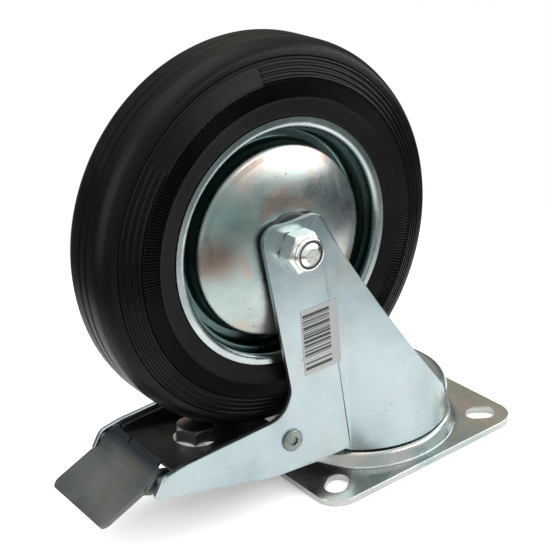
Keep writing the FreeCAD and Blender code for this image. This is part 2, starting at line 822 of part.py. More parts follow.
def make_pedal():
    """The pedal, its ears and the pin that it turns on."""
    half = dim("pedal_half_width")
    sheet = dim("pedal_sheet")
    body = new_body("pedal_pressing")
    extrude(body, "pedal_side", "XZ_Plane", [[
        Corner(-182.6, 29.2),
        Corner(-154, 40.6, 9),
        Corner(-143.6, 50.0),
        Corner(-145.0, 51.5),
        Corner(-155.0, 42.6, 7),
        Corner(-183.4, 31.2),
    ]], half * 2)
    corner = Size.of(5)
    plan = [
        Corner(-190, -40), Corner(-130, -40), Corner(-130, 40), Corner(-190, 40),
    ]
    blank = [
        Corner(-183.5, -half, corner),
        Corner(-158, -half),
        Corner(-156, 2 - half),
        Corner(-147.5, 2 - half),
        Corner(-147.5, 4.2 - half),
        Corner(-140, 4.2 - half),
        Corner(-140, 3),
        Corner(-148, 6),
        Corner(-140, 9),
        Corner(-140, half - 4.2),
        Corner(-147.5, half - 4.2),
        Corner(-147.5, half - 2),
        Corner(-156, half - 2),
        Corner(-158, half),
        Corner(-183.5, half, corner),
    ]
    extrude(body, "pedal_trim", "XY_Plane", [plan, blank], 200, "PartDesign::Pocket")
    ears = []
    for side in (-1, 1):
        ear = new_body("pedal_ear_%d" % (side + 1))
        extrude(ear, "ear_plate_%d" % (side + 1), "XZ_Plane", [[
            Corner(-160, 39.0),
            Corner(-155, 36.8, 2),
            Corner(-142, 36.8, 5),
            Corner(-142, 47.5, 5),
            Corner(-147.5, 48.4),
            Corner(-154.6, 41.6),
        ]], sheet)
        ears.append(place(ear, 0, (half - sheet / 2) * side, 0))
    pedal = combine("Part::MultiFuse", "pedal_blank", [body] + ears)
    hole = cylinder("pedal_hole", dim("pedal_pin_radius") + RUNNING_FIT, half * 2 + 10)
    place(hole, dim("pedal_pin_x"), -half - 5, dim("pedal_pin_height"), TO_Y)
    cut("brake_pedal", pedal, hole)
    reach = dim("fork_half_width") - 2
    pin = turned_body("pedal_pin", ring(0, dim("pedal_pin_radius"), -reach, reach))
    place(pin, dim("pedal_pin_x"), 0, dim("pedal_pin_height"), TO_Y)


def make_label():
    label = doc.addObject("Part::Box", "leg_label")
    label.Label = "leg_label"
    thick = dim("label_thick")
    bind(label, Length=dim("label_width"), Width=thick, Height=dim("label_height"))
    place(label, dim("label_x"), -dim("fork_half_width") - thick, dim("label_bottom"))


NODES = [
    "mounting_plate", "kingpin", "race_cup", "kingpin_nut", "dust_seal", "main_balls", "upper_balls",
    "fork", "axle_bolt", "axle_nut", "nut_insert", "axle_sleeve", "brake_rivets", "pedal_pin",
    "leg_label", "tyre", "rim_band", "wheel_disc_left", "wheel_disc_right", "hub_tube", "hub_caps",
    "roller_cage", "bearing_rollers", "brake_lever", "brake_bolt", "brake_washer", "brake_lock_nut",
    "brake_pedal",
]


def export_nodes():
    """Check every object and write each sub-part to its own file."""
    os.makedirs("parts", exist_ok=True)
    failed = [item.Label for item in doc.Objects if {"Invalid", "Error"} & set(item.State)]
    if failed:
        raise RuntimeError("not built: %s" % failed)
    for label in NODES:
        shape = doc.getObjectsByLabel(label)[0].Shape
        if shape.isNull() or not shape.isValid():
            raise RuntimeError("bad shape: " + label)
        shape.exportStep("parts/%s.step" % label)
        print("%-18s solids %2d  volume %10.1f" % (label, len(shape.Solids), shape.Volume))


fill_sheet()
make_mounting_plate()
make_swivel_bearing()
cut("fork", make_fork(), make_fork_cuts())
make_axle()
make_wheel()
make_roller_bearing()
make_brake_lever()
make_brake_bolt()
make_rivets()
make_pedal()
make_label()
doc.recompute()
export_nodes()
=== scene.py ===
"""Braked swivel castor on its plate: moulded tyre, plated pressings, foot brake and a plain studio."""

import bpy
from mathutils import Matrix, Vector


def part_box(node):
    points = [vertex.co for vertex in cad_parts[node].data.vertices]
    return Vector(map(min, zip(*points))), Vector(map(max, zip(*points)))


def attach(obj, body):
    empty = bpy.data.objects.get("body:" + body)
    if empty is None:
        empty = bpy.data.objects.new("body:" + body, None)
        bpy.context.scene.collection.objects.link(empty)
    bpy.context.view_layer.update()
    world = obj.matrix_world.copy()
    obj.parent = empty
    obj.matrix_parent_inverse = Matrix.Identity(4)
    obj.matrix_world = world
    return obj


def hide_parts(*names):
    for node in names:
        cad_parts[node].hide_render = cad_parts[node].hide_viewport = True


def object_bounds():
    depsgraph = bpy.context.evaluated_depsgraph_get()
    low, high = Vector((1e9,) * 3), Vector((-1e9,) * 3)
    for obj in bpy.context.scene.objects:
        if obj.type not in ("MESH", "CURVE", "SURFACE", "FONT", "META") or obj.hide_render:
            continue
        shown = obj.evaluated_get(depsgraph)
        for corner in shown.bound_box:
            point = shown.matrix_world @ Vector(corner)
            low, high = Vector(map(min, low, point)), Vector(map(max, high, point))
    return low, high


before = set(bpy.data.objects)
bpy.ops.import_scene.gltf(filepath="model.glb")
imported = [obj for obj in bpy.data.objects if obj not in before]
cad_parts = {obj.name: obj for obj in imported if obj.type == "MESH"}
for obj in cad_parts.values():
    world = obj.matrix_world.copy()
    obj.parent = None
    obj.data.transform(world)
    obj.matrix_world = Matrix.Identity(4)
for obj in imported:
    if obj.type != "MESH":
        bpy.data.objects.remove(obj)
CAD_BOX = [list(corner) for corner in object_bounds()]

import logging
from collections.abc import Callable, Iterator
from contextlib import contextmanager
from dataclasses import dataclass, field
from enum import Enum
from math import atan2, degrees, hypot, pi, radians

import bmesh
import bpy
from mathutils import Quaternion, Vector

LOG = logging.getLogger("castor")
MM = 0.001
WELD = 1e-6
FLAT_DEGREES = 0.15
PRESSING_CREASE = 32.0
SECTORS = 16

Colour = tuple[float, float, float, float]

AXLE = sum(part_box("hub_tube"), Vector()) / 2


class Slot(Enum):
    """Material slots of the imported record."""

    PLATE = "zinc_plate"
    LEVER = "black_steel"
    RUBBER = "black_rubber"


class Signal:
    """One output of a shader node, which takes part in sums, differences and products."""

    def __init__(self, graph: "Graph", socket: bpy.types.NodeSocket) -> None:
        """Keeps the graph that the socket belongs to."""
        self.graph = graph
        self.socket = socket

    def _with(self, operation: str, first: "Signal | float", second: "Signal | float") -> "Signal":
        """Adds the Math node for one operation on two values."""
        return self.graph.node("ShaderNodeMath", {"operation": operation}, {0: first, 1: second})

    def __add__(self, other: "Signal | float") -> "Signal":
        """Sum of two values."""
        return self._with("ADD", self, other)

    def __radd__(self, other: float) -> "Signal":
        """Sum with a number on the left."""
        return self._with("ADD", other, self)

    def __sub__(self, other: "Signal | float") -> "Signal":
        """Difference of two values."""
        return self._with("SUBTRACT", self, other)

    def __rsub__(self, other: float) -> "Signal":
        """Difference with a number on the left."""
        return self._with("SUBTRACT", other, self)

    def __mul__(self, other: "Signal | float") -> "Signal":
        """Product of two values."""
        return self._with("MULTIPLY", self, other)

    def __rmul__(self, other: float) -> "Signal":
        """Product with a number on the left."""
        return self._with("MULTIPLY", other, self)

    def __gt__(self, other: "Signal | float") -> "Signal":
        """One where this value is the larger, else zero."""
        return self._with("GREATER_THAN", self, other)

    def __lt__(self, other: "Signal | float") -> "Signal":
        """One where this value is the smaller, else zero."""
        return self._with("LESS_THAN", self, other)

    def ramp(self, low: float, high: float) -> "Signal":
        """Smooth rise from zero at low to one at high, or the other way round when low is the larger.

        Args:
            low: Value that gives zero.
            high: Value that gives one.

        Returns:
            The eased value between zero and one.
        """
        return self.graph.node(
            "ShaderNodeMapRange",
            {"interpolation_type": "SMOOTHSTEP"},
            {"Value": self, "From Min": low, "From Max": high},
        )


class Graph:
    """Node tree of one material or world, with the few builders that the finishes need."""

    def __init__(self, tree: bpy.types.NodeTree) -> None:
        """Empties the tree."""
        self.tree = tree
        tree.nodes.clear()

    def node(
        self,
        kind: str,
        settings: dict[str, object] | None = None,
        inputs: dict[str | int, object] | None = None,
        output: str | int = 0,
    ) -> Signal:
        """Adds any node, with its settings first and then the values or links of its sockets.

        Args:
            kind: Blender's type name of the node.
            settings: Attributes of the node; "stops" gives a colour ramp's places and colours.
            inputs: Socket names or places, each with a value or another node's output.
            output: Name or place of the output that is handed back.

        Returns:
            The chosen output.
        """
        made = self.tree.nodes.new(kind)
        for name, value in (settings or {}).items():
            if name == "stops":
                self._set_stops(made.color_ramp, value)
            else:
                setattr(made, name, value)
        for name, value in (inputs or {}).items():
            if isinstance(value, Signal):
                self.tree.links.new(value.socket, made.inputs[name])
            else:
                made.inputs[name].default_value = value
        return Signal(self, made.outputs[output]) if made.outputs else None

    @staticmethod
    def _set_stops(band: bpy.types.ColorRamp, stops: tuple[tuple[float, Colour], ...]) -> None:
        """Gives a colour ramp its stops."""
        while len(band.elements) < len(stops):
            band.elements.new(0.5)
        for element, (place, colour) in zip(band.elements, stops):
            element.position = place
            element.color = colour

    def place(self, stretch: tuple[float, float, float] = (1.0, 1.0, 1.0)) -> Signal:
        """Object coordinates, stretched along the axes.

        Args:
            stretch: Factor for each axis.

        Returns:
            The coordinates, in metres times the stretch.
        """
        spot = self.node("ShaderNodeTexCoord", output="Object")
        if stretch == (1.0, 1.0, 1.0):
            return spot
        return self.node("ShaderNodeMapping", {}, {"Vector": spot, "Scale": stretch})

    def noise(self, spot: Signal, scale: float, detail: float = 2.0, swirl: float = 0.0) -> Signal:
        """Soft noise between zero and one.

        Args:
            spot: Coordinates.
            scale: Waves in one metre.
            detail: Finer layers.
            swirl: Distortion of the pattern.

        Returns:
            The noise value.
        """
        return self.node(
            "ShaderNodeTexNoise",
            {},
            {"Vector": spot, "Scale": scale, "Detail": detail, "Distortion": swirl},
        )

    def reach(self, spot: Signal, axle: Vector) -> Signal:
        """Distance of each point from an axle along Y.

        Args:
            spot: Object coordinates.
            axle: Point on the axle.

        Returns:
            The distance in metres.
        """
        across = (1.0, 0.0, 1.0)
        flat = self.node("ShaderNodeVectorMath", {"operation": "MULTIPLY"}, {0: spot, 1: across})
        hub = (axle.x, 0.0, axle.z)
        return self.node("ShaderNodeVectorMath", {"operation": "DISTANCE"}, {0: flat, 1: hub}, "Value")

    def dots(self, spot: Signal, scale: float, size: float) -> Signal:
        """Round specks that fade at their rims.

        Args:
            spot: Coordinates.
            scale: Specks in one metre.
            size: Radius of a speck, in parts of a cell.

        Returns:
            One inside a speck and zero outside.
        """
        far = self.node("ShaderNodeTexVoronoi", {}, {"Vector": spot, "Scale": scale}, "Distance")
        return far.ramp(size, size * 0.4)

    def blend(self, amount: Signal | float, first: Signal | Colour, second: Signal | Colour) -> Signal:
        """Mixes two colours.

        Args:
            amount: Zero for the first colour and one for the second.
            first: Colour or output.
            second: Colour or output.

        Returns:
            The mixed colour.
        """
        return self.node(
            "ShaderNodeMix",
            {"data_type": "RGBA"},
            {0: amount, 6: first, 7: second},
            2,
        )

    def bump(self, height: Signal, relief: float, strength: float = 1.0) -> Signal:
        """Turns a height into a tilted normal.

        Args:
            height: Height between zero and one.
            relief: Depth in metres of a height of one.
            strength: Share of the tilt that is kept.

        Returns:
            The normal.
        """
        return self.node(
            "ShaderNodeBump", {}, {"Height": height, "Distance": relief, "Strength": strength}
        )


@dataclass(frozen=True)
class Finish:
    """A surface finish; each kind adds its own pattern in surface()."""

    name: str

    def make(self) -> bpy.types.Material:
        """Builds the material once and hands back the same one after that."""
        known = bpy.data.materials.get(self.name)
        if known:
            return known
        material = bpy.data.materials.new(self.name)
        material.use_nodes = True
        graph = Graph(material.node_tree)
        shader = graph.node("ShaderNodeBsdfPrincipled", {}, self.surface(graph))
        graph.node("ShaderNodeOutputMaterial", {}, {"Surface": shader})
        return material

    def surface(self, graph: Graph) -> dict[str, object]:
        """Sockets of the shader, with what feeds each of them."""
        raise NotImplementedError


@dataclass(frozen=True)
class PaintedReflection:
    """One painted reflection on a plated surface: a coloured patch round a point."""

    centre: tuple[float, float, float]
    size: float
    shade: Colour
    share: float


@dataclass(frozen=True)
class PlatedSteel(Finish):
    """Bright zinc plate with a thin clear passivation that tints it, over a drawn pressing."""

    light: Colour = (0.355, 0.415, 0.435, 1.0)
    tint: Colour = (0.285, 0.350, 0.365, 1.0)
    bloom: Colour = (0.40, 0.37, 0.34, 1.0)
    stain: Colour = (0.17, 0.18, 0.16, 1.0)
    rough: float = 0.27
    cloud_scale: float = 19.0
    warm_scale: float = 33.0
    patch_scale: float = 64.0
    mark_scale: float = 210.0
    mottle_scale: float = 430.0
    grain_scale: float = 2900.0
    hair_scale: float = 90.0
    hair_stretch: tuple[float, float, float] = (1.0, 1.0, 26.0)
    wave_scale: float = 26.0
    wave_relief: float = 0.0009
    pit_scale: float = 0.0
    bloom_amount: float = 0.35
    # Inner and outer radius of a groove that gets painted shade, and the dark teal of that painted shade.
    channel: tuple[float, float] | None = None
    channel_painted_shade: Colour = (0.030, 0.085, 0.085, 1.0)
    # Painted reflections: coloured patches that stand for surroundings mirrored in the surface.
    painted_reflections: tuple[PaintedReflection, ...] = ()
    # Painted shade from an X range onwards, and its dark blue-black colour.
    heel: tuple[float, float] | None = None
    heel_painted_shade: Colour = (0.020, 0.025, 0.034, 1.0)

    def surface(self, graph: Graph) -> dict[str, object]:
        """Cloudy tint, warm bloom, small stains, hairlines and a faint waviness, plus painted reflections,
        painted shade in a groove and painted shade at a heel when these are given.
        """
        spot = graph.place()
        cloud = graph.noise(spot, self.cloud_scale, 3.0, 0.4)
        patch = graph.noise(spot, self.patch_scale, 4.0, 0.8)
        mottle = graph.noise(spot, self.mottle_scale, 3.0, 0.3)
        grain = graph.noise(spot, self.grain_scale, 2.0)
        hair = graph.noise(graph.place(self.hair_stretch), self.hair_scale, 3.0, 0.2).ramp(0.68, 0.74)
        colour = graph.blend(cloud.ramp(0.38, 0.66), self.light, self.tint)
        warm = graph.noise(spot, self.warm_scale, 2.0, 1.2).ramp(0.52, 0.72)
        colour = graph.blend(warm * self.bloom_amount, colour, self.bloom)
        marks = graph.dots(spot, self.mark_scale, 0.16) * patch.ramp(0.50, 0.64)
        marks = marks + mottle.ramp(0.66, 0.78) * patch.ramp(0.46, 0.70) * 0.55
        height = graph.noise(spot, self.wave_scale, 2.0) + patch * 0.10 + grain * 0.006
        height = height - hair * 0.012
        if self.pit_scale:
            pits = graph.dots(spot, self.pit_scale, 0.30) * patch.ramp(0.40, 0.58)
            fine = graph.dots(spot, self.pit_scale * 2.3, 0.34) * mottle.ramp(0.42, 0.60)
            marks = marks + pits * 0.8 + fine * 0.35
            height = height - pits * 0.035 - fine * 0.012
        colour = graph.blend((marks * 0.75).ramp(0.0, 1.0), colour, self.stain)
        # Painted reflections: each patch blends its colour into the base colour round its centre, with a
        # ragged rim.
        for reflection_patch in self.painted_reflections:
            size = reflection_patch.size
            far = graph.node(
                "ShaderNodeVectorMath", {"operation": "DISTANCE"}, {0: spot, 1: reflection_patch.centre}, "Value"
            )
            near = (far + (cloud - 0.5) * size + (patch - 0.5) * (size * 0.5)).ramp(size, size * 0.2)
            colour = graph.blend(near * reflection_patch.share, colour, reflection_patch.shade)
        # Painted shade: darkens the part beyond the given X towards a dark blue-black.
        if self.heel:
            low, high = self.heel
            along = graph.node("ShaderNodeSeparateXYZ", {}, {0: spot}, "X")
            colour = graph.blend(along.ramp(low, high) * 0.85, colour, self.heel_painted_shade)
        # Painted shade: the annular groove between the two radii is darkened towards dark teal, standing for
        # the shade inside the recess.
        if self.channel:
            inner, outer = self.channel
            out = graph.reach(spot, AXLE)
            groove_painted_shade = out.ramp(inner, inner + 2.5 * MM) * out.ramp(outer + 1.5 * MM, outer)
            colour = graph.blend(groove_painted_shade * (0.68 + cloud * 0.3), colour, self.channel_painted_shade)
        rough = self.rough + (patch - 0.5) * 0.22 + mottle * 0.07 + hair * 0.10 + marks * 0.20
        return {
            "Base Color": colour,
            "Metallic": 1.0,
            "Roughness": rough,
            "Normal": graph.bump(height, self.wave_relief),
        }


@dataclass(frozen=True)
class TurnedSteel(Finish):
    """Plated bolt and nut steel with fine tool marks and rubbed edges."""

    light: Colour = (0.78, 0.77, 0.75, 1.0)
    dark: Colour = (0.38, 0.37, 0.36, 1.0)
    rough: float = 0.20
    blotch_scale: float = 150.0
    line_scale: float = 260.0
    speck_scale: float = 900.0
    relief: float = 0.00012
    grain_stretch: tuple[float, float, float] = (1.0, 14.0, 1.0)

    def surface(self, graph: Graph) -> dict[str, object]:
        """Blotchy brightness, tool marks and light pitting."""
        spot = graph.place()
        blotch = graph.noise(spot, self.blotch_scale, 4.0, 0.5)
        lines = graph.noise(graph.place(self.grain_stretch), self.line_scale, 3.0)
        specks = graph.dots(spot, self.speck_scale, 0.25) * blotch.ramp(0.48, 0.60)
        colour = graph.blend(blotch.ramp(0.40, 0.70) * 0.6, self.light, self.dark)
        colour = graph.blend(specks * 0.5, colour, self.dark)
        return {
            "Base Color": colour,
            "Metallic": 1.0,
            "Roughness": self.rough + blotch * 0.16 + lines * 0.08,
            "Normal": graph.bump(lines * 0.5 + blotch - specks * 0.2, self.relief),
        }


@dataclass(frozen=True)
class PaintedSteel(Finish):
    """Black coating over sheet steel, slightly orange-peeled, dusty and scuffed."""

    coat: Colour = (0.006, 0.0065, 0.007, 1.0)
    dust: Colour = (0.026, 0.026, 0.027, 1.0)
    rough: float = 0.36
    specular: float = 0.17
    patch_scale: float = 55.0
    scuff_scale: float = 140.0
    peel_scale: float = 1300.0
    relief: float = 0.00008

    def surface(self, graph: Graph) -> dict[str, object]:
        """Dusty patches, fine peel and a few scuffs."""
        spot = graph.place()
        patch = graph.noise(spot, self.patch_scale, 4.0, 0.6)
        peel = graph.noise(spot, self.peel_scale, 2.0)
        stroke = graph.place((1.0, 12.0, 1.0))
        scuff = graph.noise(stroke, self.scuff_scale, 3.0, 0.4).ramp(0.66, 0.74)
        colour = graph.blend(patch.ramp(0.45, 0.75) * 0.6 + scuff * 0.35, self.coat, self.dust)
        return {
            "Base Color": colour,
            "Roughness": self.rough + patch * 0.18 + scuff * 0.15,
            "Specular IOR Level": self.specular,
            "Normal": graph.bump(peel * 0.5 + patch * 0.8, self.relief),
        }


@dataclass(frozen=True)
class MouldedRubber(Finish):
    """Black rubber with a grey bloom, a fine mould skin and small rub marks."""

    base: Colour = (0.0022, 0.0022, 0.0021, 1.0)
    bloom: Colour = (0.011, 0.0105, 0.0095, 1.0)
    rough: float = 0.25
    specular: float = 0.11
    cloud_scale: float = 24.0
    rub_scale: float = 210.0
    mottle_scale: float = 320.0
    skin_scale: float = 1900.0
    relief: float = 0.00010

    def surface(self, graph: Graph) -> dict[str, object]:
        """Cloudy bloom, skin grain and scattered rub marks."""
        spot = graph.place()
        cloud = graph.noise(spot, self.cloud_scale, 4.0, 0.5)
        skin = graph.noise(spot, self.skin_scale, 3.0)
        mottle = graph.noise(spot, self.mottle_scale, 3.0, 0.4)
        rub = graph.noise(graph.place((1.0, 5.0, 1.0)), self.rub_scale, 3.0).ramp(0.64, 0.74)
        colour = graph.blend(cloud.ramp(0.44, 0.74) * 0.55 + rub * 0.30, self.base, self.bloom)
        return {
            "Base Color": colour,
            "Roughness": self.rough + cloud * 0.16 + mottle * 0.08,
            "Specular IOR Level": self.specular,
            "Normal": graph.bump(skin * 0.35 + mottle, self.relief),
        }


@dataclass(frozen=True)
class MouldedPlastic(Finish):
    """Smooth dark moulding, such as a nut's locking ring or a bearing cage."""

    base: Colour = (0.018, 0.019, 0.021, 1.0)
    worn: Colour = (0.055, 0.056, 0.060, 1.0)
    rough: float = 0.34
    cloud_scale: float = 120.0
    skin_scale: float = 2100.0
    relief: float = 0.00006

    def surface(self, graph: Graph) -> dict[str, object]:
        """Cloudy gloss and a fine skin."""
        spot = graph.place()
        cloud = graph.noise(spot, self.cloud_scale, 3.0, 0.3)
        skin = graph.noise(spot, self.skin_scale, 2.0)
        return {
            "Base Color": graph.blend(cloud.ramp(0.45, 0.75) * 0.7, self.base, self.worn),
            "Roughness": self.rough + cloud * 0.15,
            "Normal": graph.bump(skin * 0.4 + cloud * 0.3, self.relief),
        }


@dataclass(frozen=True)
class BarLabel(Finish):
    """White paper tag with plain printed bars, stacked up the leg beside a blank strip."""

    paper: Colour = (0.31, 0.32, 0.31, 1.0)
    paper_shade: Colour = (0.25, 0.255, 0.25, 1.0)
    ink: Colour = (0.020, 0.020, 0.022, 1.0)
    left: float = -0.0612
    right: float = -0.0442
    bottom: float = 0.0715
    top: float = 0.1030
    bar: float = 0.00042
    blank_share: float = 0.52
    fibre_scale: float = 900.0
    relief: float = 0.00003

    def surface(self, graph: Graph) -> dict[str, object]:
        """Bars of a few widths, kept inside the printed field."""
        spot = graph.place()
        across = graph.node("ShaderNodeSeparateXYZ", {}, {0: spot}, "X")
        up = graph.node("ShaderNodeSeparateXYZ", {}, {0: spot}, "Z")
        row = graph.node("ShaderNodeMath", {"operation": "FLOOR"}, {0: up * (1.0 / self.bar)})
        pick = graph.node("ShaderNodeTexWhiteNoise", {"noise_dimensions": "1D"}, {"W": row}, "Value")
        field_mask = (across > self.left) * (across < self.right)
        field_mask = field_mask * (up > self.bottom) * (up < self.top)
        fibre = graph.noise(spot, self.fibre_scale, 3.0)
        paper = graph.blend(fibre.ramp(0.35, 0.75) * 0.5, self.paper, self.paper_shade)
        return {
            "Base Color": graph.blend((pick > self.blank_share) * field_mask, paper, self.ink),
            "Roughness": 0.46 + fibre * 0.14,
            "Normal": graph.bump(fibre, self.relief),
        }


@dataclass(frozen=True)
class FloorPaint(Finish):
    """Pale studio floor that thins out at its rim."""

    light: Colour = (0.93, 0.93, 0.93, 1.0)
    shade: Colour = (0.90, 0.90, 0.90, 1.0)
    glow: float = 0.30
    cloud_scale: float = 3.0
    solid_reach: float = 0.21
    end_reach: float = 0.40

    def surface(self, graph: Graph) -> dict[str, object]:
        """Barely visible cloudiness on a matt sheet that thins out at its rim."""
        spot = graph.place()
        cloud = graph.noise(spot, self.cloud_scale, 3.0)
        reach = graph.node("ShaderNodeVectorMath", {"operation": "LENGTH"}, {0: spot}, "Value")
        return {
            "Alpha": reach.ramp(self.end_reach, self.solid_reach),
            "Base Color": graph.blend(cloud, self.light, self.shade),
            "Roughness": 0.9 + cloud * 0.05,
            "Specular IOR Level": 0.1,
            "Emission Color": self.light,
            "Emission Strength": self.glow,
        }


PRESSED = PlatedSteel("pressed_zinc")
PLATE_ZINC = PlatedSteel(
    "plate_zinc",
    light=(0.43, 0.43, 0.405, 1.0),
    tint=(0.27, 0.33, 0.33, 1.0),
    bloom=(0.46, 0.38, 0.30, 1.0),
    rough=0.24,
    bloom_amount=0.7,
)
PEDAL_ZINC = PlatedSteel(
    "pedal_zinc",
    light=(0.140, 0.145, 0.140, 1.0),
    tint=(0.075, 0.088, 0.090, 1.0),
    bloom=(0.135, 0.118, 0.108, 1.0),
    stain=(0.035, 0.037, 0.036, 1.0),
    rough=0.46,
    bloom_amount=0.6,
    # Painted shade on the end of the pedal towards the fork, from X = -0.153 m on.
    heel=(-0.1530, -0.1475),
)
RIM_ZINC = PlatedSteel(
    "rim_zinc",
    light=(0.48, 0.50, 0.50, 1.0),
    tint=(0.30, 0.35, 0.36, 1.0),
    rough=0.20,
    wave_relief=0.0004,
    # Painted shade in the annular groove between these radii.
    channel=(50.0 * MM, 57.9 * MM),
)
DISC_ZINC = PlatedSteel(
    "disc_zinc",
    light=(0.50, 0.49, 0.465, 1.0),
    tint=(0.31, 0.37, 0.355, 1.0),
    bloom=(0.46, 0.31, 0.25, 1.0),
    rough=0.27,
    pit_scale=900.0,
    bloom_amount=0.70,
    # Painted shade in the annular groove between these radii.
    channel=(47.6 * MM, 57.4 * MM),
    # Painted reflections on the dome: brown, teal and warm patches for surroundings mirrored in it.
    painted_reflections=(
        PaintedReflection((-0.100, -0.019, 0.142), 0.019, (0.26, 0.15, 0.11, 1.0), 0.85),
        PaintedReflection((-0.093, -0.019, 0.166), 0.022, (0.12, 0.21, 0.20, 1.0), 0.70),
        PaintedReflection((-0.074, -0.019, 0.143), 0.015, (0.14, 0.21, 0.20, 1.0), 0.60),
        PaintedReflection((-0.024, -0.019, 0.148), 0.022, (0.16, 0.22, 0.24, 1.0), 0.65),
        PaintedReflection((-0.092, -0.019, 0.102), 0.011, (0.38, 0.28, 0.17, 1.0), 0.55),
    ),
)
BOLT_STEEL = TurnedSteel("bolt_steel")
NUT_STEEL = TurnedSteel(
    "nut_steel", light=(0.80, 0.81, 0.77, 1.0), dark=(0.46, 0.48, 0.43, 1.0), rough=0.12
)
RIVET_STEEL = TurnedSteel(
    "rivet_steel", light=(0.20, 0.225, 0.21, 1.0), dark=(0.09, 0.105, 0.095, 1.0), rough=0.24
)
DARK_BOLT = TurnedSteel("dark_bolt_steel", light=(0.30, 0.27, 0.29, 1.0), dark=(0.10, 0.09, 0.10, 1.0))
BALL_STEEL = TurnedSteel(
    "ball_steel", light=(0.70, 0.70, 0.71, 1.0), dark=(0.55, 0.55, 0.56, 1.0), rough=0.06
)
LEVER_BLACK = PaintedSteel("lever_black")
TYRE_RUBBER = MouldedRubber("tyre_rubber")
RING_PLASTIC = MouldedPlastic("ring_plastic")
SEAL_PLASTIC = MouldedPlastic("seal_plastic", rough=0.45)
TAG_PAPER = BarLabel("tag_paper")
FLOOR = FloorPaint("floor_paint")


